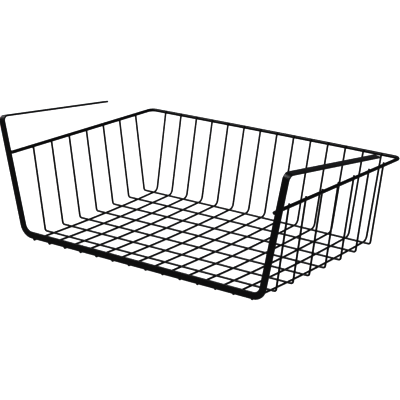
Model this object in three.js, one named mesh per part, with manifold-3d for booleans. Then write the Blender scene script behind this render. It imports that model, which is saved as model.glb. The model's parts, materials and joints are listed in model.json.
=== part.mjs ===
// Under-shelf wire basket: a bent flat hanger strap, a rim wire and a welded mesh of long and cross wires.
// Millimetres, +X to the right, +Y to the rear, +Z up. The origin is the middle of the bounding box's underside.
import * as THREE from 'three';
import Module from 'manifold-3d';

const degrees = Math.PI / 180;

// Stock sizes
const meshWire = 2.2; // diameter of the mesh wires
const rimWire = 3.8; // diameter of the rim wire
const strapWidth = 8; // flat bar of the hanger strap
const strapThick = 2;
const strapEdge = 0.6; // rounding of the flat bar's edges

// Layout of the base
const longCount = 14; // wires that run front to back
const longPitch = 25.4;
const crossCount = 7; // wires that run side to side
const crossPitch = 32.7;
const footReach = 10.8; // from the outermost base wire to the foot of a wall
const baseSag = 2.2; // how far the middle of the base hangs below its front and rear ends

// Walls, rim and arms
const sideLean = 7.6 * degrees;
const backLean = 14 * degrees;
const backFan = 0.016; // share by which the back wall's wires spread towards the rim
const strapLean = 12.3 * degrees;
const rimHeight = 110; // rim centre above the floor at the strap
const rimDrop = 3.2; // how much lower the rim is at the back
const armHeight = 154.8; // corner of the strap and its arm above the floor
const armDroop = 7.4 * degrees; // arms fall towards the rear to grip a shelf
const armLength = 192;

// Bend radii at the middle of the stock
const longBend = 8;
const crossBend = 3;
const rimBend = 8;
const strapCorner = 14;
const armBend = 6;
const armTip = 0.8; // corner rounding of an arm's end

// Fits at the welds
const seat = 0.3; // clearance kept where two pieces meet
const wireSink = 0.8; // depth of a long wire's seat in the strap's lower edge
const endProud = 0.2; // how far wire ends stand above the rim

// Levels and positions that follow from the sizes above, with the strap's front face at y = 0
const meshRadius = meshWire / 2;
const rimRadius = rimWire / 2;
const strapY = strapThick / 2;
const sideFoot = (longCount - 1) * longPitch / 2 + footReach;
const sideFootZ = meshRadius + meshWire + seat;
const backFoot = strapY + crossCount * crossPitch + footReach;
const backFootZ = meshRadius + baseSag;
const rimOffset = meshRadius + seat + rimRadius;
const rimBackZ = rimHeight - rimDrop;
const rimBackY = backFoot + Math.tan(backLean) * (rimBackZ - backFootZ) + rimOffset / Math.cos(backLean);
const middleY = (rimBackY + rimRadius) / 2;

// The base hangs in a wide arc between straight ends that are as long as the foot's reach
const baseHalf = (backFoot - strapY) / 2;
const baseMiddle = strapY + baseHalf;
const sagHalf = baseHalf - footReach;
const sagRadius = sagHalf * (baseHalf - sagHalf / 2) / baseSag;
const sagSlope = Math.asin(sagHalf / sagRadius);
const sagCornerZ = backFootZ - Math.tan(sagSlope) * baseHalf;

// Height of a long wire's centre on the base
function longZ(y) {
  const reach = Math.abs(y - baseMiddle);
  const lowest = sagCornerZ + sagRadius * (1 / Math.cos(sagSlope) - 1);
  if (reach > sagHalf) {
    return sagCornerZ + Math.tan(sagSlope) * reach;
  }
  return lowest + sagRadius - Math.sqrt(sagRadius ** 2 - reach ** 2);
}

const seatZ = longZ(strapY);
const barZ = seatZ + meshRadius + seat - wireSink + strapWidth / 2;

// Height of the rim's centre at a distance behind the strap
function rimZ(y) {
  return rimHeight - rimDrop * (y - strapY) / (rimBackY - strapY);
}

// Distance of a side wall's wires from the middle at a height
function sideWallX(z) {
  return sideFoot + Math.tan(sideLean) * (z - sideFootZ);
}

// Half width of the rim, outside the leaning cross wires
function rimHalf(y) {
  return sideWallX(rimZ(y)) + rimOffset / Math.cos(sideLean);
}

// Distance of the strap's centre line from the middle, with its inner edge seated on the rim
function strapX(z) {
  const innerAtRim = rimHalf(strapY) + (rimRadius + seat) / Math.cos(strapLean);
  return innerAtRim + Math.tan(strapLean) * (z - rimHeight) + strapWidth / 2 / Math.cos(strapLean);
}

// Stations along straight legs joined by round bends; the width direction is carried through each bend
function bentPath(corners, radii, steps, firstAcross) {
  const last = corners.length - 1;
  const leg = (i) => corners[i + 1].clone().sub(corners[i]).normalize();
  const across = firstAcross.clone().normalize();
  const stations = [{ at: corners[0].clone(), along: leg(0), across: across.clone() }];
  for (let i = 1; i < last; i += 1) {
    const before = leg(i - 1);
    const after = leg(i);
    const turn = before.angleTo(after);
    const axis = before.clone().cross(after).normalize();
    const inward = axis.clone().cross(before);
    const radius = radii[i - 1];
    const centre = corners[i].clone();
    centre.addScaledVector(before, -radius * Math.tan(turn / 2));
    centre.addScaledVector(inward, radius);
    for (let step = 0; step <= steps; step += 1) {
      const angle = turn * step / steps;
      const spoke = inward.clone().multiplyScalar(-radius).applyAxisAngle(axis, angle);
      stations.push({
        at: centre.clone().add(spoke),
        along: before.clone().applyAxisAngle(axis, angle),
        across: across.clone().applyAxisAngle(axis, angle),
      });
    }
    across.applyAxisAngle(axis, turn);
  }
  stations.push({ at: corners[last].clone(), along: leg(last - 1), across: across.clone() });
  return stations;
}

// Replaces both ends of a path by stations that follow an end profile of [distance from the tip, width factor]
function shapeEnds(stations, profile) {
  const place = (end, inwards) => profile.map(([distance, factor]) => ({
    at: end.at.clone().addScaledVector(end.along, inwards * distance),
    along: end.along,
    across: end.across,
    factor,
  }));
  const first = stations[0];
  const last = stations[stations.length - 1];
  return [...place(first, 1), ...stations.slice(1, -1), ...place(last, -1).reverse()];
}

// Closed solid through one section loop at every station; the last flag says if the end profile narrows both ways
function sweep(stations, section, narrowBoth) {
  const sides = section.length;
  const position = [];
  const index = [];
  for (const { at, along, across, factor = 1 } of stations) {
    const normal = along.clone().cross(across);
    for (const [u, v] of section) {
      const point = at.clone();
      point.addScaledVector(across, u * factor);
      point.addScaledVector(normal, narrowBoth ? v * factor : v);
      position.push(point.x, point.y - middleY, point.z);
    }
  }
  for (let ring = 0; ring < stations.length - 1; ring += 1) {
    for (let side = 0; side < sides; side += 1) {
      const a = ring * sides + side;
      const b = ring * sides + (side + 1) % sides;
      index.push(a, b, b + sides, a, b + sides, a + sides);
    }
  }
  const top = (stations.length - 1) * sides;
  for (let side = 1; side < sides - 1; side += 1) {
    index.push(0, side + 1, side);
    index.push(top, top + side, top + side + 1);
  }
  const geometry = new THREE.BufferGeometry();
  geometry.setAttribute('position', new THREE.Float32BufferAttribute(position, 3));
  geometry.setIndex(index);
  return geometry;
}

// Loop of points on a circle
function roundSection(radius, sides) {
  const point = (k) => 2 * Math.PI * k / sides;
  return Array.from({ length: sides }, (_, k) => [radius * Math.cos(point(k)), radius * Math.sin(point(k))]);
}

// Loop of points on a rectangle with rounded corners
function flatSection(width, thick, edge, steps) {
  const loop = [];
  for (let corner = 0; corner < 4; corner += 1) {
    const u = (corner === 0 || corner === 3 ? 1 : -1) * (width / 2 - edge);
    const v = (corner < 2 ? 1 : -1) * (thick / 2 - edge);
    for (let step = 0; step <= steps; step += 1) {
      const angle = (corner + step / steps) * Math.PI / 2;
      loop.push([u + edge * Math.cos(angle), v + edge * Math.sin(angle)]);
    }
  }
  return loop;
}

// Round wire with softly broken ends
function bentWire(corners, diameter, radii, flatNormal, steps, sides) {
  const soft = 0.2 * diameter;
  const profile = [[0, 1 - 2 * soft / diameter], [soft, 1]];
  const stations = shapeEnds(bentPath(corners, radii, steps, flatNormal), profile);
  return sweep(stations, roundSection(diameter / 2, sides), true);
}

const wasm = await Module();
wasm.setup();

// Solid for cutting, from a closed indexed geometry
function asSolid(geometry) {
  const vertProperties = new Float32Array(geometry.getAttribute('position').array);
  const triVerts = new Uint32Array(geometry.getIndex().array);
  return new wasm.Manifold(new wasm.Mesh({ numProp: 3, vertProperties, triVerts }));
}

// Geometry of a cut solid
function asGeometry(solid) {
  const mesh = solid.getMesh();
  const geometry = new THREE.BufferGeometry();
  geometry.setAttribute('position', new THREE.Float32BufferAttribute(mesh.vertProperties, 3));
  geometry.setIndex(Array.from(mesh.triVerts));
  return geometry;
}

const group = new THREE.Group();
group.name = 'under_shelf_basket';

// Adds one named piece with a satin black coat of its own
function addPiece(name, geometry) {
  geometry.computeVertexNormals();
  const coat = new THREE.MeshStandardMaterial({ color: 0x0d0d0e, roughness: 0.45, metalness: 0.1 });
  coat.name = 'black_coat';
  const piece = new THREE.Mesh(geometry, coat);
  piece.name = name;
  group.add(piece);
}

// Places of the long wires across the base
const longX = Array.from({ length: longCount }, (_, k) => (k - (longCount - 1) / 2) * longPitch);

// Hanger strap: left arm, left upright, front bar, right upright and right arm from one flat bar
function hangerStrap() {
  const barCorner = new THREE.Vector3(strapX(barZ), strapY, barZ);
  const armCorner = new THREE.Vector3(strapX(armHeight), strapY, armHeight);
  const down = new THREE.Vector3(-Math.sin(strapLean), 0, -Math.cos(strapLean));
  const armTo = down.multiplyScalar(Math.sin(armDroop)).add(new THREE.Vector3(0, Math.cos(armDroop), 0));
  const armEnd = armCorner.clone().addScaledVector(armTo, armLength);
  const rightSide = [barCorner, armCorner, armEnd];
  const leftSide = rightSide.map((p) => new THREE.Vector3(-p.x, p.y, p.z)).reverse();
  const leftAcross = new THREE.Vector3(Math.cos(strapLean), 0, Math.sin(strapLean));
  const radii = [armBend, strapCorner, strapCorner, armBend];
  const path = bentPath([...leftSide, ...rightSide], radii, 8, leftAcross);
  const tipSteps = 4;
  const profile = Array.from({ length: tipSteps + 1 }, (_, k) => {
    const angle = k / tipSteps * Math.PI / 2;
    const halfWidth = strapWidth / 2 - armTip + armTip * Math.sin(angle);
    return [armTip * (1 - Math.cos(angle)), halfWidth / (strapWidth / 2)];
  });
  const section = flatSection(strapWidth, strapThick, strapEdge, 2);
  let strap = asSolid(sweep(shapeEnds(path, profile), section, false));
  // Half-round seats for the long wires in the lower edge of the front bar
  for (const x of longX) {
    const from = new THREE.Vector3(x, -strapThick, seatZ);
    const to = new THREE.Vector3(x, 2 * strapThick, seatZ);
    const ends = bentPath([from, to], [], 1, new THREE.Vector3(1, 0, 0));
    strap = strap.subtract(asSolid(sweep(ends, roundSection(meshRadius + seat, 16), true)));
  }
  return asGeometry(strap);
}

// Rim wire: a U that is open at the front and lies outside the mesh
function rimGeometry() {
  const tipY = 0.1 * strapThick;
  const front = new THREE.Vector3(rimHalf(tipY), tipY, rimZ(tipY));
  const back = new THREE.Vector3(rimHalf(rimBackY), rimBackY, rimBackZ);
  const mirrored = (p) => new THREE.Vector3(-p.x, p.y, p.z);
  const corners = [mirrored(front), mirrored(back), back, front];
  const flatNormal = back.clone().sub(front).cross(new THREE.Vector3(1, 0, 0)).negate();
  return bentWire(corners, rimWire, [rimBend, rimBend], flatNormal, 8, 16);
}

// Long wire: from its seat under the strap along the base and up the back wall
function longGeometry(x) {
  const topZ = rimBackZ + rimRadius + endProud;
  const corners = [
    new THREE.Vector3(x, strapY, seatZ),
    new THREE.Vector3(x, baseMiddle, sagCornerZ),
    new THREE.Vector3(x, backFoot, backFootZ),
    new THREE.Vector3(x * (1 + backFan), backFoot + Math.tan(backLean) * (topZ - backFootZ), topZ),
  ];
  return bentWire(corners, meshWire, [sagRadius, longBend], new THREE.Vector3(1, 0, 0), 6, 12);
}

// Cross wire: down one side wall, across the base on the long wires and up the other side wall
function crossGeometry(y) {
  const topZ = rimZ(y) + rimRadius + endProud;
  const footZ = longZ(y) + meshWire + seat;
  const corners = [
    new THREE.Vector3(-sideWallX(topZ), y, topZ),
    new THREE.Vector3(-sideWallX(footZ), y, footZ),
    new THREE.Vector3(sideWallX(footZ), y, footZ),
    new THREE.Vector3(sideWallX(topZ), y, topZ),
  ];
  return bentWire(corners, meshWire, [crossBend, crossBend], new THREE.Vector3(0, 1, 0), 5, 12);
}

addPiece('hanger_strap', hangerStrap());
addPiece('rim_wire', rimGeometry());
longX.forEach((x, k) => addPiece(`long_wire_${String(k + 1).padStart(2, '0')}`, longGeometry(x)));
for (let k = 1; k <= crossCount; k += 1) {
  addPiece(`cross_wire_${k}`, crossGeometry(strapY + k * crossPitch));
}

export default group;
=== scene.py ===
"""Under-shelf basket: a bent flat hanger strap, a rim wire and a welded wire mesh under one satin black coat.

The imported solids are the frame. Each piece made here takes the place of its solid, with the welds closed up.
"""

import json
import random
from math import asin, cos, radians, sin, sqrt, tan

import bmesh
import bpy
from bpy.props import FloatProperty, FloatVectorProperty, PointerProperty
from bpy.types import Operator, Panel, PropertyGroup
from mathutils import Matrix, Vector

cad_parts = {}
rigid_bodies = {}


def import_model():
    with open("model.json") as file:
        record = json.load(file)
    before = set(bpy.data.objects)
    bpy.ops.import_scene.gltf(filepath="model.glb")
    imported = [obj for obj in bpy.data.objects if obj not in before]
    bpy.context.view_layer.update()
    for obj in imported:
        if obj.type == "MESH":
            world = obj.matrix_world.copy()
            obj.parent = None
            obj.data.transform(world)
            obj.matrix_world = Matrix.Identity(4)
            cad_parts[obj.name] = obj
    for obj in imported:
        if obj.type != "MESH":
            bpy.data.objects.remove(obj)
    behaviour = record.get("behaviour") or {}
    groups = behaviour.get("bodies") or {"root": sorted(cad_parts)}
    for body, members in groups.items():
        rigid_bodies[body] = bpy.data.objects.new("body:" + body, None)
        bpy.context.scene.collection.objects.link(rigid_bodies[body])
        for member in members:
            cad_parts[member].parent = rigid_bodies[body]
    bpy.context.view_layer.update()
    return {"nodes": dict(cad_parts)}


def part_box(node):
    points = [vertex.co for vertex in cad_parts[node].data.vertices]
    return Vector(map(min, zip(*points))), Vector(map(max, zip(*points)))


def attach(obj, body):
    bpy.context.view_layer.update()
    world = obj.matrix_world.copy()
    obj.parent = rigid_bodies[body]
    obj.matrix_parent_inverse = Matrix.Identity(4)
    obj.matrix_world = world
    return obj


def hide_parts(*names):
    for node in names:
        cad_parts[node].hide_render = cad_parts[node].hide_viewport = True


for leftover in list(bpy.data.objects):
    bpy.data.objects.remove(leftover)
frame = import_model()

bl_info = {
    "name": "Under-shelf basket",
    "version": (1, 0, 0),
    "blender": (4, 5, 0),
    "location": "View3D > Sidebar > Basket",
    "description": "Builds a welded wire basket that hangs from a shelf",
    "category": "Object",
}

BODY = "root"
EDGE_ATTRIBUTE = "thin_coat"
STRAP_NODE = "hanger_strap"
RIM_NODE = "rim_wire"
LONG_NODES = sorted(name for name in frame["nodes"] if name.startswith("long_wire"))
CROSS_NODES = sorted(name for name in frame["nodes"] if name.startswith("cross_wire"))
SIDES = (-1, 1)
UP = Vector((0, 0, 1))

# Fineness of the meshes
WIRE_SIDES = 18
RIM_SIDES = 24
WIRE_BEND_STEPS = 12
RIM_BEND_STEPS = 14
STRAP_BEND_STEPS = 16
EDGE_STEPS = 3
TIP_STEPS = 6
BEAD_SEGMENTS = 10
BEAD_RINGS = 6

# Shares of a wire's diameter or of the strap's thickness
END_ROUNDING = 0.2
RIM_TIP_REACH = 0.4
STRAP_BEAD_HALF = 0.45
LONGEST_TIP_EDGE = 1.5

# Angle between two faces from which their edge gets rounded
SHARP_EDGE = radians(40)

# Half sizes of a weld bead as shares of its wire's radius, and how much beads differ
BEAD_HALF = Vector((1.6, 1.6, 0.75))
WIRE_END_HALF = 1.3
RIM_END_HALF = 1.1
BEAD_SPREAD = (0.92, 1.1)
BEAD_SEED = 7

# Detail of the coat's noises, and the part of their range that carries their change
PATCH_DETAIL = 3.0
FINE_DETAIL = 4.0
BUMP_DETAIL = 2.0
NOISE_LOW = 0.3
NOISE_HIGH = 0.7

# The floor's finish
FLOOR_SHINE = 0.1
FLOOR_ROUGHNESS = (0.75, 0.9)
MOTTLES_PER_METRE = 3.0


def length(name, description, default):
    """A length in metres for a property group."""
    return FloatProperty(
        name=name, description=description, default=default, precision=5, subtype="DISTANCE", unit="LENGTH"
    )


def angle(name, description, default):
    """An angle, given in degrees, for a property group."""
    return FloatProperty(
        name=name, description=description, default=radians(default), subtype="ANGLE", unit="ROTATION"
    )


def share(name, description, default):
    """A number from nought to one for a property group."""
    return FloatProperty(
        name=name, description=description, default=default, min=0.0, max=1.0, precision=3, subtype="FACTOR"
    )


def power(name, description, default):
    """A light's power in watts for a property group."""
    return FloatProperty(name=name, description=description, default=default, subtype="POWER", unit="POWER")


def colour(name, description, default):
    """A colour for a property group."""
    return FloatVectorProperty(
        name=name, description=description, default=default, size=3, min=0.0, max=1.0, subtype="COLOR"
    )


class BasketSizes(PropertyGroup):
    """Stock, bends, levels and welds of the basket."""

    mesh_wire: length("Mesh wire", "Diameter of the long and cross wires", 0.0022)
    rim_wire: length("Rim wire", "Diameter of the rim wire with its coat", 0.004)
    strap_width: length("Strap width", "Width of the hanger strap's flat bar with its coat", 0.0085)
    strap_thick: length("Strap thickness", "Thickness of the hanger strap's flat bar with its coat", 0.0021)
    strap_edge: length("Strap edge", "Rounding of the flat bar's edges", 0.0006)
    foot_reach: length("Foot reach", "From the outermost base wire to the foot of a wall", 0.0108)
    base_sag: length("Base sag", "How far the middle of the base hangs below its ends", 0.0022)
    rim_height: length("Rim height", "Rim centre above the floor at the strap", 0.110)
    rim_drop: length("Rim drop", "How much lower the rim is at the back", 0.0032)
    arm_height: length("Arm height", "Corner of the strap and its arm above the floor", 0.1545)
    arm_length: length("Arm length", "From the arm's corner to its tip", 0.1936)
    side_lean: angle("Side lean", "How far the side walls lean outwards", 7.6)
    back_lean: angle("Back lean", "How far the back wall leans outwards", 14.0)
    back_fan: share("Back fan", "How much the back wall's wires spread towards the rim", 0.016)
    strap_lean: angle("Strap lean", "How far the uprights lean outwards", 12.3)
    arm_droop: angle("Arm droop", "How far the arms fall towards the rear", 7.4)
    long_bend: length("Long wire bend", "Bend radius at the foot of the back wall", 0.008)
    cross_bend: length("Cross wire bend", "Bend radius of the cross wires' feet", 0.003)
    rim_bend: length("Rim bend", "Bend radius of the rim's rear corners", 0.008)
    strap_corner: length("Strap corner", "Edgewise bend radius of the strap's lower corners", 0.014)
    arm_bend: length("Arm bend", "Flatwise bend radius between upright and arm", 0.006)
    arm_tip: length("Arm tip", "Corner rounding of an arm's end", 0.0008)
    solid_gap: length("Solid gap", "Gap that the solids keep where two pieces meet", 0.0003)
    seat_depth: length("Seat depth", "Depth of a long wire's seat in the strap's lower edge", 0.0008)
    end_proud: length("End proud", "How far wire ends stand above the rim", 0.0002)
    weld_sink: length("Weld sink", "How far two wires are pressed into each other at a weld", 0.0006)
    strap_sink: length("Strap sink", "How far the rim's ends are pressed into the strap's edge", 0.0003)
    fit_limit: length("Fit limit", "Most that a piece's box may differ from its solid's", 0.005)


class BasketUnevenness(PropertyGroup):
    """How far one finished basket is off its even shape."""

    front_tilt: length("Front tilt", "How far the base's front edge rises to the right", 0.001)
    back_tilt: length("Back tilt", "How far the base's back edge falls to the right", 0.0005)
    back_crown: length("Back crown", "How far the base's back edge rises in the middle", 0.0007)
    foot_shift: length("Foot shift", "How far to the right the back wall's feet stand", 0.0004)
    foot_draw: share("Foot draw", "How much the back wall's feet are drawn together", 0.003)
    side_sweep: length("Side sweep", "How far the side walls' wires lean to the rear", 0.0006)
    left_splay: share("Left splay", "How far the left wall's foot runs outwards from the strap on", 0.0075)
    right_splay: share("Right splay", "How far the right wall's foot turns about its middle", 0.014)
    right_fan: share("Right fan", "How much the right wall's wires spread towards the rim", 0.02)
    rim_bow: length("Rim bow", "How far the middle of the rim's back stands behind its corners", 0.0018)
    strap_shift: length("Strap shift", "How far to the left of the mesh the strap is welded", 0.0011)
    strap_spread: length("Strap spread", "How far the uprights stand off the rim's ends", 0.0005)
    height_skew: length("Height skew", "How much higher the right arm is, and lower the left", 0.0018)
    length_skew: length("Length skew", "How much longer the right arm is, and shorter the left", 0.0037)
    droop_skew: angle("Droop skew", "How much more the right arm falls, and less the left", 1.0)


class BasketFinish(PropertyGroup):
    """The satin black coat."""

    coat_dark: colour("Coat dark", "Darkest tone of the coat", (0.02, 0.02, 0.021))
    coat_light: colour("Coat light", "Lightest tone of the coat", (0.033, 0.0325, 0.033))
    edge_tone: colour("Edge tone", "Coat where it is thin, on edges and wire ends", (0.06, 0.059, 0.058))
    shine: share("Shine", "Strength of the coat's reflections", 0.38)
    smooth_rough: share("Least roughness", "Roughness where the coat has flowed out", 0.34)
    dull_rough: share("Most roughness", "Roughness where the coat is dry", 0.48)
    peel_size: length("Peel size", "Width of the coat's orange peel", 0.0011)
    peel_height: length("Peel height", "Height of the coat's orange peel", 0.00003)
    grain_size: length("Grain size", "Width of the coat's fine grain", 0.00022)
    grain_height: length("Grain height", "Height of the coat's fine grain", 0.000006)
    patch_size: length("Patch size", "Width of the patches of tone and gloss", 0.014)


class BasketStudio(PropertyGroup):
    """Floor, lights and camera."""

    floor_tone: colour("Floor tone", "Colour of the pale floor", (0.2, 0.2, 0.2))
    floor_glow: FloatProperty(name="Floor glow", description="Light from under the white table", default=0.95)
    floor_size: length("Floor size", "Side of the square floor", 60.0)
    floor_drop: length("Floor drop", "How far the floor lies below the solids, for the uneven base", 0.0003)
    sky_tone: colour("Sky tone", "Colour of the soft light from all round", (0.94, 0.95, 1.0))
    sky_strength: FloatProperty(name="Sky strength", description="Soft light from all round", default=0.85)
    card_size: length("Card size", "Side of a square card of light", 1.1)
    card_distance: length("Card distance", "From a card to the basket", 1.6)
    front_power: power("Front power", "Light of the front card", 58.0)
    front_azimuth: angle("Front azimuth", "Turn of the front card round the basket", -32.7)
    front_elevation: angle("Front elevation", "Height of the front card above the horizon", 50.9)
    left_power: power("Left power", "Light of the left card", 18.0)
    left_azimuth: angle("Left azimuth", "Turn of the left card round the basket", -90.0)
    left_elevation: angle("Left elevation", "Height of the left card above the horizon", 37.0)
    grade: FloatProperty(name="Grade", description="Gamma of the picture; low for deep blacks", default=0.4)
    azimuth: angle("Azimuth", "Turn of the camera round the basket", 37.61)
    elevation: angle("Elevation", "Height of the camera above the horizon", 18.31)
    roll: angle("Roll", "Tilt of the camera", -0.38)
    distance: length("Distance", "From the camera to the point that it looks at", 1.8474)
    focal: FloatProperty(
        name="Focal length", description="Lens of the camera in millimetres", default=135.41, unit="CAMERA"
    )
    aim: FloatVectorProperty(
        name="Aim",
        description="Point that the camera looks at",
        default=(-0.00841, -0.00243, 0.04968),
        subtype="XYZ",
        unit="LENGTH",
    )


def middle(node):
    """Middle of a solid's box."""
    low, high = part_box(node)
    return (low + high) / 2


class Bow:
    """A line that is straight near its two ends and bowed by one wide arc between them."""

    def __init__(self, half, straight, depth):
        self.arc_half = half - straight
        self.radius = self.arc_half * (half - self.arc_half / 2) / depth
        self.slope = asin(self.arc_half / self.radius)

    def offset(self, reach):
        """Distance from the straight legs' meeting point, at a distance from the middle."""
        if reach > self.arc_half:
            return tan(self.slope) * reach
        return self.radius / cos(self.slope) - sqrt(self.radius**2 - reach**2)


class Layout:
    """Levels, places and paths that follow from the sizes, the unevenness and the frame."""

    def __init__(self, scene):
        self.sizes = sizes = scene.basket_sizes
        self.uneven = uneven = scene.basket_unevenness
        self.mesh_radius = sizes.mesh_wire / 2
        self.rim_radius = sizes.rim_wire / 2
        self.long_x = [middle(node).x / (1 + sizes.back_fan / 2) for node in LONG_NODES]
        self.cross_y = [middle(node).y for node in CROSS_NODES]
        self.strap_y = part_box(STRAP_NODE)[0].y + sizes.strap_thick / 2
        self.side_foot = self.long_x[-1] + sizes.foot_reach
        self.side_foot_z = self.mesh_radius + sizes.mesh_wire + sizes.solid_gap
        self.back_foot = self.cross_y[-1] + sizes.foot_reach
        self.back_foot_z = self.mesh_radius + sizes.base_sag
        self.rim_back_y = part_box(RIM_NODE)[1].y - self.rim_radius
        self.rim_back_z = sizes.rim_height - sizes.rim_drop
        self.rim_offset = self.mesh_radius + sizes.solid_gap + self.rim_radius
        self.base_half = (self.back_foot - self.strap_y) / 2
        self.base_middle = self.strap_y + self.base_half
        self.sag = Bow(self.base_half, sizes.foot_reach, sizes.base_sag)
        self.sag_corner_z = self.back_foot_z - self.sag.offset(self.base_half)
        self.crown = Bow(self.side_foot, sizes.foot_reach, uneven.back_crown)
        self.crown_corner_z = self.crown.offset(self.side_foot)
        self.back_half = self.rim_x(self.rim_back_y)
        self.back_bow = Bow(self.back_half, 2 * sizes.rim_bend, uneven.rim_bow)
        self.bow_corner_y = self.rim_back_y + self.back_bow.offset(0)
        seat_top = self.long_z(self.strap_y) + self.mesh_radius + sizes.solid_gap
        self.bar_bottom = seat_top - sizes.seat_depth
        self.bar_z = self.bar_bottom + sizes.strap_width / 2
        self.weld_press = sizes.solid_gap + sizes.weld_sink

    def long_z(self, y):
        """Height of a long wire's centre on the base."""
        return self.sag_corner_z + self.sag.offset(abs(y - self.base_middle))

    def depth_share(self, y):
        """Nought at the strap and one at the foot of the back wall."""
        return (y - self.strap_y) / (self.back_foot - self.strap_y)

    def above_even(self, x, y):
        """How far the base is above its even level, tilted at the front and crowned at the back."""
        depth = self.depth_share(y)
        front, back = self.uneven.front_tilt, self.uneven.back_tilt
        tilt = front - (front + back) * depth
        rise = self.crown_corner_z - self.crown.offset(abs(x))
        return tilt * x / self.side_foot + rise * depth

    def cross_z(self, y):
        """Height of a cross wire's centre on the base, pressed into the long wires."""
        return self.long_z(y) + self.sizes.mesh_wire - self.sizes.weld_sink

    def rim_share(self, y):
        """Nought at the strap and one at the back of the rim."""
        return (y - self.strap_y) / (self.rim_back_y - self.strap_y)

    def rim_z(self, y):
        """Height of the rim's centre."""
        return self.sizes.rim_height - self.sizes.rim_drop * self.rim_share(y)

    def rim_y(self, x):
        """Place of the rim's centre along its back."""
        return self.bow_corner_y - self.back_bow.offset(abs(x))

    def side_wall_x(self, z):
        """Distance of a side wall's solid wires from the middle."""
        return self.side_foot + tan(self.sizes.side_lean) * (z - self.side_foot_z)

    def rim_x(self, y):
        """Half width of the rim, spread at the front so that its ends reach into the strap."""
        half = self.side_wall_x(self.rim_z(y)) + self.rim_offset / cos(self.sizes.side_lean)
        spread = self.sizes.solid_gap + self.sizes.strap_sink
        return half + spread * (1 - self.rim_share(y))

    def strap_x(self, z):
        """Distance of the strap's centre line from the middle."""
        sizes = self.sizes
        solid_rim = self.side_wall_x(sizes.rim_height) + self.rim_offset / cos(sizes.side_lean)
        beside_rim = (self.rim_radius + sizes.solid_gap + sizes.strap_width / 2) / cos(sizes.strap_lean)
        return solid_rim + beside_rim + tan(sizes.strap_lean) * (z - sizes.rim_height)

    def outset(self, side):
        """How much further out an upright stands on one side."""
        return self.uneven.strap_spread - side * self.uneven.strap_shift

    def strap_side(self, side):
        """Corners of the strap's right half from the front bar to the arm's tip, as bent on one side."""
        sizes = self.sizes
        outset = Vector((self.outset(side), 0, 0))
        height = sizes.arm_height + side * self.uneven.height_skew
        reach = sizes.arm_length + side * self.uneven.length_skew
        droop = sizes.arm_droop + side * self.uneven.droop_skew
        bar_corner = Vector((self.strap_x(self.bar_z), self.strap_y, self.bar_z)) + outset
        arm_corner = Vector((self.strap_x(height), self.strap_y, height)) + outset
        down = Vector((-sin(sizes.strap_lean), 0, -cos(sizes.strap_lean)))
        rearward = Vector((0, cos(droop), 0)) + sin(droop) * down
        return [bar_corner, arm_corner, arm_corner + reach * rearward]

    def strap_path(self):
        """Corners of the strap from the left arm's tip to the right arm's tip."""
        left = [mirrored(corner) for corner in self.strap_side(-1)]
        return left[::-1] + self.strap_side(1)

    def rim_path(self):
        """Corners of the rim from its left end to its right end, which lean towards their uprights."""
        tip_y = self.strap_y - RIM_TIP_REACH * self.sizes.strap_thick
        reach = [self.rim_x(tip_y) + self.outset(side) / 2 for side in SIDES]
        left, right = [Vector((side * x, tip_y, self.rim_z(tip_y))) for side, x in zip(SIDES, reach)]
        back = Vector((self.back_half, self.rim_y(self.back_half), self.rim_back_z))
        bow_corner = Vector((0, self.bow_corner_y, self.rim_back_z))
        return [left, mirrored(back), bow_corner, back, right]

    def on_base(self, x, y, z):
        """Where a point of an even base is on the uneven one."""
        return Vector((x, y, z + self.above_even(x, y)))

    def on_long(self, x, y, z):
        """Where a point of a long wire is on the uneven base, aside towards the wire's foot."""
        aside = self.uneven.foot_shift - self.uneven.foot_draw * x
        return self.on_base(x + aside * self.depth_share(y), y, z)

    def long_path(self, x):
        """Corners of a long wire from the strap to the top of the back wall."""
        top = self.rim_back_z + self.rim_radius + self.sizes.end_proud
        top_x = x * (1 + self.sizes.back_fan)
        in_front = self.rim_back_y - self.rim_y(top_x)
        wall_y = self.back_foot + tan(self.sizes.back_lean) * (top - self.back_foot_z) + self.weld_press
        return [
            self.on_long(x, self.strap_y, self.long_z(self.strap_y)),
            self.on_long(x, self.base_middle, self.sag_corner_z),
            self.on_long(x, self.back_foot, self.back_foot_z),
            Vector((top_x, wall_y - in_front, top)),
        ]

    def cross_top(self, y, side):
        """Where a cross wire meets the rim on one side."""
        fan = self.uneven.right_fan if side > 0 else 0.0
        top_y = y + self.uneven.side_sweep + fan * (y - self.base_middle)
        return Vector((side * self.rim_x(top_y), top_y, self.rim_z(top_y)))

    def cross_side(self, y, side):
        """Foot and end of a cross wire on one side."""
        if side > 0:
            splay = self.uneven.right_splay * (y - self.base_middle)
        else:
            splay = self.uneven.left_splay * (y - self.strap_y)
        foot = self.on_base(side * (self.side_foot + splay), y, self.cross_z(y))
        inwards = (self.rim_offset - self.weld_press) / cos(self.sizes.side_lean)
        leg = self.cross_top(y, side) - Vector((side * inwards, 0, 0)) - foot
        past_rim = (self.rim_radius + self.sizes.end_proud) / leg.z
        return [foot, foot + (1 + past_rim) * leg]

    def cross_path(self, y):
        """Corners of a cross wire from the left rim to the right rim, with the crown's between its feet."""
        left, right = (self.cross_side(y, side) for side in SIDES)
        between = (left[0] + right[0]) / 2 + self.crown_corner_z * self.depth_share(y) * UP
        return [*left[::-1], between, *right]

    def cross_radii(self, y):
        """Bend radii of a cross wire."""
        foot_bend = self.sizes.cross_bend
        return [foot_bend, self.crown.radius / self.depth_share(y), foot_bend]


def mirrored(point):
    """The same point on the left side."""
    return Vector((-point.x, point.y, point.z))


def round_section(bm, at, along, diameter, sides):
    """Starts a round wire as a capped circle square to its first leg."""
    place = Matrix.Translation(at) @ along.to_track_quat("Z", "Y").to_matrix().to_4x4()
    made = bmesh.ops.create_circle(bm, cap_ends=True, segments=sides, radius=diameter / 2, matrix=place)
    return made["verts"][0].link_faces[0]


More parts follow.
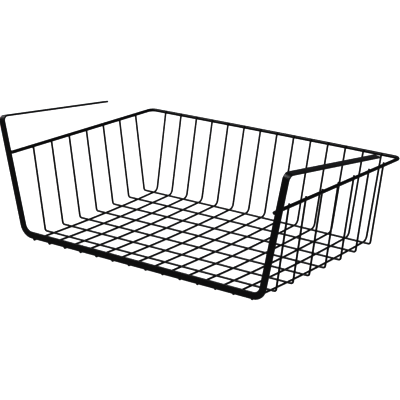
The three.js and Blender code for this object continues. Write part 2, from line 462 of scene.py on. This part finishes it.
def flat_section(bm, at, across, through, width, thick):
    """Starts a flat bar as a rectangle square to its first leg."""
    turns = ((-1, -1), (1, -1), (1, 1), (-1, 1))
    corners = [bm.verts.new(at + u * width / 2 * across + v * thick / 2 * through) for u, v in turns]
    return bm.faces.new(corners)


def faces_of(geometry):
    """The faces among an operator's results."""
    return [item for item in geometry if isinstance(item, bmesh.types.BMFace)]


def push(bm, face, step):
    """Draws a section straight on and returns its new end."""
    section = [face, *face.edges, *face.verts]
    end = faces_of(bmesh.ops.extrude_face_region(bm, geom=section)["geom"])[0]
    bmesh.ops.translate(bm, verts=end.verts, vec=step)
    return end


def bend(bm, face, centre, axis, turn, steps):
    """Draws a section round a bend and returns its new end."""
    section = [face, *face.edges, *face.verts]
    made = bmesh.ops.spin(bm, geom=section, cent=centre, axis=axis, angle=turn, steps=steps)
    return faces_of(made["geom_last"])[0]


def draw(bm, face, corners, radii, steps):
    """Draws a section along straight legs that are joined by round bends and returns its end."""
    at = corners[0]
    for corner, following, radius in zip(corners[1:-1], corners[2:], radii):
        before = (corner - at).normalized()
        after = (following - corner).normalized()
        turn = before.angle(after)
        axis = before.cross(after).normalized()
        setback = radius * tan(turn / 2)
        start = corner - setback * before
        face = push(bm, face, start - at)
        face = bend(bm, face, start + radius * axis.cross(before), axis, turn, steps)
        at = corner + setback * after
    return push(bm, face, corners[-1] - at)


def round_edges(bm, edges, offset, segments):
    """Rounds edges and returns the new faces."""
    made = bmesh.ops.bevel(
        bm,
        geom=edges,
        offset=offset,
        offset_type="OFFSET",
        segments=segments,
        profile=0.5,
        affect="EDGES",
        material=-1,
    )
    return made["faces"]


def thin_coat(bm, faces):
    """Marks faces where the coat has drawn back from an edge."""
    layer = bm.verts.layers.float.get(EDGE_ATTRIBUTE) or bm.verts.layers.float.new(EDGE_ATTRIBUTE)
    for face in faces:
        for vert in face.verts:
            vert[layer] = 1.0


def wire(corners, diameter, radii, steps, sides):
    """A round wire through its corners, with softly broken ends."""
    bm = bmesh.new()
    along = (corners[1] - corners[0]).normalized()
    start = round_section(bm, corners[0], along, diameter, sides)
    end = draw(bm, start, corners, radii, steps)
    for cap in (start, end):
        thin_coat(bm, round_edges(bm, list(cap.edges), END_ROUNDING * diameter, EDGE_STEPS))
    bmesh.ops.recalc_face_normals(bm, faces=bm.faces)
    return bm


def flat_bar(corners, across, width, thick, radii, steps, tip, edge):
    """A flat bar through its corners, with rounded tips and edges."""
    bm = bmesh.new()
    along = (corners[1] - corners[0]).normalized()
    start = flat_section(bm, corners[0], across, along.cross(across), width, thick)
    end = draw(bm, start, corners, radii, steps)
    bmesh.ops.recalc_face_normals(bm, faces=bm.faces)
    longest = LONGEST_TIP_EDGE * thick
    tip_corners = [line for cap in (start, end) for line in cap.edges if line.calc_length() < longest]
    round_edges(bm, tip_corners, tip, TIP_STEPS)
    sharp = [line for line in bm.edges if line.calc_face_angle() > SHARP_EDGE]
    thin_coat(bm, round_edges(bm, sharp, edge, EDGE_STEPS))
    bmesh.ops.recalc_face_normals(bm, faces=bm.faces)
    return bm


def finished(bm, name, coat, nodes=(), fit_limit=None):
    """Makes a mesh into a coated piece of the basket that rides on the frame."""
    if not all(line.is_manifold for line in bm.edges):
        raise RuntimeError(f"{name} isn't closed")
    for face in bm.faces:
        face.smooth = True
    mesh = bpy.data.meshes.new(name)
    bm.to_mesh(mesh)
    bm.free()
    mesh.materials.append(coat)
    piece = bpy.data.objects.new(name, mesh)
    bpy.context.scene.collection.objects.link(piece)
    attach(piece, BODY)
    for node in nodes:
        check_fit(piece, node, fit_limit)
        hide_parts(node)
    return piece


def check_fit(piece, node, fit_limit):
    """Stops the script where a piece doesn't stand where its solid is."""
    corners = [Vector(corner) for corner in piece.bound_box]
    for axis in range(3):
        low = min(corner[axis] for corner in corners)
        high = max(corner[axis] for corner in corners)
        solid_low, solid_high = (edge[axis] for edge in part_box(node))
        if max(abs(low - solid_low), abs(high - solid_high)) > fit_limit:
            raise RuntimeError(f"{piece.name} doesn't fit {node}")


def coat_material(name, finish, peel, rough_gain):
    """Satin black powder coat: patches of tone and gloss, orange peel, fine grain and thin edges."""
    material = bpy.data.materials.get(name)
    if material:
        return material
    material = bpy.data.materials.new(name)
    material.use_nodes = True
    nodes = material.node_tree.nodes
    links = material.node_tree.links
    shader = nodes["Principled BSDF"]
    shader.inputs["Specular IOR Level"].default_value = finish.shine
    place = nodes.new("ShaderNodeTexCoord")

    def noise(size, detail):
        """Noise with features of a size in metres."""
        texture = nodes.new("ShaderNodeTexNoise")
        texture.inputs["Scale"].default_value = 1 / size
        texture.inputs["Detail"].default_value = detail
        links.new(place.outputs["Object"], texture.inputs["Vector"])
        return texture.outputs["Fac"]

    patches = noise(finish.patch_size, PATCH_DETAIL)
    tone = nodes.new("ShaderNodeValToRGB")
    tone.color_ramp.elements[0].position = NOISE_LOW
    tone.color_ramp.elements[0].color = (*finish.coat_dark, 1.0)
    tone.color_ramp.elements[1].position = NOISE_HIGH
    tone.color_ramp.elements[1].color = (*finish.coat_light, 1.0)
    links.new(patches, tone.inputs["Fac"])

    edge = nodes.new("ShaderNodeAttribute")
    edge.attribute_name = EDGE_ATTRIBUTE
    broken = nodes.new("ShaderNodeMath")
    broken.operation = "MULTIPLY"
    links.new(edge.outputs["Fac"], broken.inputs[0])
    links.new(noise(finish.patch_size / 4, FINE_DETAIL), broken.inputs[1])
    worn = nodes.new("ShaderNodeMix")
    worn.data_type = "RGBA"
    links.new(broken.outputs["Value"], worn.inputs["Factor"])
    links.new(tone.outputs["Color"], worn.inputs["A"])
    worn.inputs["B"].default_value = (*finish.edge_tone, 1.0)
    links.new(worn.outputs["Result"], shader.inputs["Base Color"])

    gloss = nodes.new("ShaderNodeMapRange")
    gloss.inputs["From Min"].default_value = NOISE_LOW
    gloss.inputs["From Max"].default_value = NOISE_HIGH
    gloss.inputs["To Min"].default_value = finish.smooth_rough * rough_gain
    gloss.inputs["To Max"].default_value = finish.dull_rough * rough_gain
    links.new(noise(finish.patch_size / 2, FINE_DETAIL), gloss.inputs["Value"])
    links.new(gloss.outputs["Result"], shader.inputs["Roughness"])

    peel_bump = nodes.new("ShaderNodeBump")
    peel_bump.inputs["Distance"].default_value = finish.peel_height * peel
    links.new(noise(finish.peel_size, BUMP_DETAIL), peel_bump.inputs["Height"])
    grain_bump = nodes.new("ShaderNodeBump")
    grain_bump.inputs["Distance"].default_value = finish.grain_height * peel
    links.new(noise(finish.grain_size, BUMP_DETAIL), grain_bump.inputs["Height"])
    links.new(peel_bump.outputs["Normal"], grain_bump.inputs["Normal"])
    links.new(grain_bump.outputs["Normal"], shader.inputs["Normal"])
    return material


def strap_coat(finish):
    """Coat on the flat bar, where it flows out best."""
    return coat_material("black_coat_strap", finish, peel=1.0, rough_gain=1.0)


def wire_coat(finish):
    """Coat on the round wires."""
    return coat_material("black_coat_wire", finish, peel=0.8, rough_gain=1.05)


def weld_coat(finish):
    """Coat pooled over the welds."""
    return coat_material("black_coat_weld", finish, peel=2.0, rough_gain=1.15)


def add_bead(bm, at, facing, size):
    """Adds one flattened bead of weld metal that lies square to a direction."""
    turn = facing.to_track_quat("Z", "Y")
    place = Matrix.LocRotScale(at, turn, size)
    bmesh.ops.create_uvsphere(
        bm, u_segments=BEAD_SEGMENTS, v_segments=BEAD_RINGS, radius=1.0, matrix=place
    )


class BASKET_OT_hanger_strap(Operator):
    """Bends the hanger strap from one flat bar: arm, upright, front bar, upright and arm"""

    bl_idname = "basket.hanger_strap"
    bl_label = "Hanger strap"

    def execute(self, context):
        sizes = context.scene.basket_sizes
        layout = Layout(context.scene)
        across = Vector((cos(sizes.strap_lean), 0, sin(sizes.strap_lean)))
        radii = [sizes.arm_bend, sizes.strap_corner, sizes.strap_corner, sizes.arm_bend]
        bm = flat_bar(
            layout.strap_path(),
            across,
            sizes.strap_width,
            sizes.strap_thick,
            radii,
            STRAP_BEND_STEPS,
            sizes.arm_tip,
            sizes.strap_edge,
        )
        coat = strap_coat(context.scene.basket_finish)
        strap = finished(bm, "coated_strap", coat, [STRAP_NODE], sizes.fit_limit)
        strap.modifiers.new("flat_faces", "WEIGHTED_NORMAL")
        return {"FINISHED"}


class BASKET_OT_rim_wire(Operator):
    """Bends the rim wire into a U that is open at the front"""

    bl_idname = "basket.rim_wire"
    bl_label = "Rim wire"

    def execute(self, context):
        sizes = context.scene.basket_sizes
        layout = Layout(context.scene)
        radii = [sizes.rim_bend, layout.back_bow.radius, sizes.rim_bend]
        bm = wire(layout.rim_path(), sizes.rim_wire, radii, RIM_BEND_STEPS, RIM_SIDES)
        coat = wire_coat(context.scene.basket_finish)
        finished(bm, "coated_rim", coat, [RIM_NODE], sizes.fit_limit)
        return {"FINISHED"}


class BASKET_OT_long_wires(Operator):
    """Bends the wires that run from the strap along the base and up the back wall"""

    bl_idname = "basket.long_wires"
    bl_label = "Long wires"

    def execute(self, context):
        sizes = context.scene.basket_sizes
        layout = Layout(context.scene)
        coat = wire_coat(context.scene.basket_finish)
        for node, x in zip(LONG_NODES, layout.long_x):
            radii = [layout.sag.radius, sizes.long_bend]
            bm = wire(layout.long_path(x), sizes.mesh_wire, radii, WIRE_BEND_STEPS, WIRE_SIDES)
            finished(bm, f"coated_{node}", coat, [node], sizes.fit_limit)
        return {"FINISHED"}


class BASKET_OT_cross_wires(Operator):
    """Bends the wires that run down one side wall, across the base and up the other side wall"""

    bl_idname = "basket.cross_wires"
    bl_label = "Cross wires"

    def execute(self, context):
        sizes = context.scene.basket_sizes
        layout = Layout(context.scene)
        coat = wire_coat(context.scene.basket_finish)
        for node, y in zip(CROSS_NODES, layout.cross_y):
            radii = layout.cross_radii(y)
            bm = wire(layout.cross_path(y), sizes.mesh_wire, radii, WIRE_BEND_STEPS, WIRE_SIDES)
            finished(bm, f"coated_{node}", coat, [node], sizes.fit_limit)
        return {"FINISHED"}


class BASKET_OT_welds(Operator):
    """Adds the beads of weld metal where wires cross, at the rim and along the strap"""

    bl_idname = "basket.welds"
    bl_label = "Welds"

    def execute(self, context):
        sizes = context.scene.basket_sizes
        layout = Layout(context.scene)
        coat = weld_coat(context.scene.basket_finish)
        spread = random.Random(BEAD_SEED)
        bead = layout.mesh_radius * BEAD_HALF

        def varied(half):
            """Half sizes of one bead among others that differ slightly."""
            return spread.uniform(*BEAD_SPREAD) * half

        base = bmesh.new()
        for y in layout.cross_y:
            between = (layout.long_z(y) + layout.cross_z(y)) / 2
            for x in layout.long_x:
                add_bead(base, layout.on_long(x, y, between), UP, varied(bead))
        finished(base, "base_welds", coat)

        rim = bmesh.new()
        rim_press = layout.rim_radius - sizes.weld_sink / 2
        for y in layout.cross_y:
            for side in SIDES:
                outwards = Vector((side * cos(sizes.side_lean), 0, -sin(sizes.side_lean)))
                at = layout.cross_top(y, side) - rim_press * outwards
                add_bead(rim, at, outwards, varied(bead))
        for x in layout.long_x:
            outwards = Vector((0, cos(sizes.back_lean), -sin(sizes.back_lean)))
            top_x = x * (1 + sizes.back_fan)
            on_rim = Vector((top_x, layout.rim_y(top_x), layout.rim_back_z))
            add_bead(rim, on_rim - rim_press * outwards, outwards, varied(bead))
        finished(rim, "rim_welds", coat)

        strap = bmesh.new()
        flush = STRAP_BEAD_HALF * sizes.strap_thick
        wire_end = Vector((bead.x, flush, WIRE_END_HALF * layout.mesh_radius))
        rim_end = Vector((flush, RIM_END_HALF * layout.rim_radius, bead.z))
        for x in layout.long_x:
            at = Vector((x, layout.strap_y, layout.bar_bottom))
            add_bead(strap, at, UP, varied(wire_end))
        for side in SIDES:
            centre = layout.strap_x(sizes.rim_height) + layout.outset(side)
            inner = centre - sizes.strap_width / 2 / cos(sizes.strap_lean)
            outwards = Vector((side * cos(sizes.strap_lean), 0, sin(sizes.strap_lean)))
            at = Vector((side * inner, layout.strap_y, sizes.rim_height))
            add_bead(strap, at, outwards, rim_end)
        finished(strap, "strap_welds", coat)
        return {"FINISHED"}


def stand_direction(azimuth, elevation):
    """Direction from the basket to a light or camera that stands round it; nought is straight in front."""
    return Vector((sin(azimuth) * cos(elevation), -cos(azimuth) * cos(elevation), sin(elevation)))


class BASKET_OT_studio(Operator):
    """Sets the pale floor, the soft lights and the camera"""

    bl_idname = "basket.studio"
    bl_label = "Studio"

    def execute(self, context):
        studio = context.scene.basket_studio
        self.lay_floor(studio)
        aim = Vector(studio.aim)
        front = stand_direction(studio.front_azimuth, studio.front_elevation)
        left = stand_direction(studio.left_azimuth, studio.left_elevation)
        self.stand_card("front_card", studio, aim, front, studio.front_power)
        self.stand_card("left_card", studio, aim, left, studio.left_power)
        world = bpy.data.worlds.new("studio_sky")
        world.use_nodes = True
        world.node_tree.nodes["Background"].inputs["Color"].default_value = (*studio.sky_tone, 1.0)
        world.node_tree.nodes["Background"].inputs["Strength"].default_value = studio.sky_strength
        context.scene.world = world
        context.scene.view_settings.view_transform = "Standard"
        context.scene.view_settings.gamma = studio.grade
        self.set_camera(context.scene, studio, aim)
        return {"FINISHED"}

    def lay_floor(self, studio):
        """A wide pale floor with a slight mottle."""
        bm = bmesh.new()
        level = Matrix.Translation((0, 0, -studio.floor_drop))
        bmesh.ops.create_grid(bm, x_segments=1, y_segments=1, size=studio.floor_size / 2, matrix=level)
        mesh = bpy.data.meshes.new("studio_floor")
        bm.to_mesh(mesh)
        bm.free()
        material = bpy.data.materials.new("pale_floor")
        material.use_nodes = True
        nodes = material.node_tree.nodes
        links = material.node_tree.links
        shader = nodes["Principled BSDF"]
        shader.inputs["Base Color"].default_value = (*studio.floor_tone, 1.0)
        shader.inputs["Specular IOR Level"].default_value = FLOOR_SHINE
        shader.inputs["Emission Color"].default_value = (1.0, 1.0, 1.0, 1.0)
        shader.inputs["Emission Strength"].default_value = studio.floor_glow
        place = nodes.new("ShaderNodeTexCoord")
        mottle = nodes.new("ShaderNodeTexNoise")
        mottle.inputs["Scale"].default_value = MOTTLES_PER_METRE
        spread = nodes.new("ShaderNodeMapRange")
        spread.inputs["To Min"].default_value, spread.inputs["To Max"].default_value = FLOOR_ROUGHNESS
        links.new(place.outputs["Object"], mottle.inputs["Vector"])
        links.new(mottle.outputs["Fac"], spread.inputs["Value"])
        links.new(spread.outputs["Result"], shader.inputs["Roughness"])
        mesh.materials.append(material)
        floor = bpy.data.objects.new("studio_floor", mesh)
        bpy.context.scene.collection.objects.link(floor)

    def stand_card(self, name, studio, aim, facing, power):
        """A bright card that shows in the coat's gloss and casts no shadow on the floor."""
        lamp = bpy.data.lights.new(name, "AREA")
        lamp.shape = "SQUARE"
        lamp.size = studio.card_size
        lamp.energy = power
        card = bpy.data.objects.new(name, lamp)
        card.location = aim + studio.card_distance * facing
        card.rotation_euler = facing.to_track_quat("Z", "Y").to_euler()
        card.visible_diffuse = False
        bpy.context.scene.collection.objects.link(card)

    def set_camera(self, scene, studio, aim):
        """A camera at the photograph's angle."""
        back = stand_direction(studio.azimuth, studio.elevation)
        right = Vector((cos(studio.azimuth), sin(studio.azimuth), 0))
        upright = Matrix((right, back.cross(right), back)).transposed()
        pose = (Matrix.Rotation(studio.roll, 3, back) @ upright).to_4x4()
        pose.translation = aim + studio.distance * back
        lens = bpy.data.cameras.new("studio_camera")
        lens.lens = studio.focal
        camera = bpy.data.objects.new("studio_camera", lens)
        camera.matrix_world = pose
        scene.collection.objects.link(camera)
        scene.camera = camera


OPERATORS = (
    BASKET_OT_hanger_strap,
    BASKET_OT_rim_wire,
    BASKET_OT_long_wires,
    BASKET_OT_cross_wires,
    BASKET_OT_welds,
    BASKET_OT_studio,
)


class BASKET_PT_sidebar(Panel):
    """Lists the basket's pieces with their sizes and colours"""

    bl_idname = "BASKET_PT_sidebar"
    bl_label = "Under-shelf basket"
    bl_space_type = "VIEW_3D"
    bl_region_type = "UI"
    bl_category = "Basket"

    def draw(self, context):
        column = self.layout.column()
        for operator in OPERATORS:
            column.operator(operator.bl_idname)
        scene = context.scene
        groups = (scene.basket_sizes, scene.basket_unevenness, scene.basket_finish, scene.basket_studio)
        for group in groups:
            box = self.layout.box()
            for name in type(group).__annotations__:
                box.prop(group, name)


GROUPS = (BasketSizes, BasketUnevenness, BasketFinish, BasketStudio)


def register():
    """Registers the classes and the scene's property groups."""
    for item in (*GROUPS, *OPERATORS, BASKET_PT_sidebar):
        bpy.utils.register_class(item)
    bpy.types.Scene.basket_sizes = PointerProperty(type=BasketSizes)
    bpy.types.Scene.basket_unevenness = PointerProperty(type=BasketUnevenness)
    bpy.types.Scene.basket_finish = PointerProperty(type=BasketFinish)
    bpy.types.Scene.basket_studio = PointerProperty(type=BasketStudio)


def unregister():
    """Removes the property groups and the classes."""
    del bpy.types.Scene.basket_studio
    del bpy.types.Scene.basket_finish
    del bpy.types.Scene.basket_unevenness
    del bpy.types.Scene.basket_sizes
    for item in (BASKET_PT_sidebar, *reversed(OPERATORS), *reversed(GROUPS)):
        bpy.utils.unregister_class(item)


def main():
    """Builds the basket and its studio."""
    register()
    bpy.ops.basket.hanger_strap()
    bpy.ops.basket.rim_wire()
    bpy.ops.basket.long_wires()
    bpy.ops.basket.cross_wires()
    bpy.ops.basket.welds()
    bpy.ops.basket.studio()


if __name__ == "__main__":
    main()
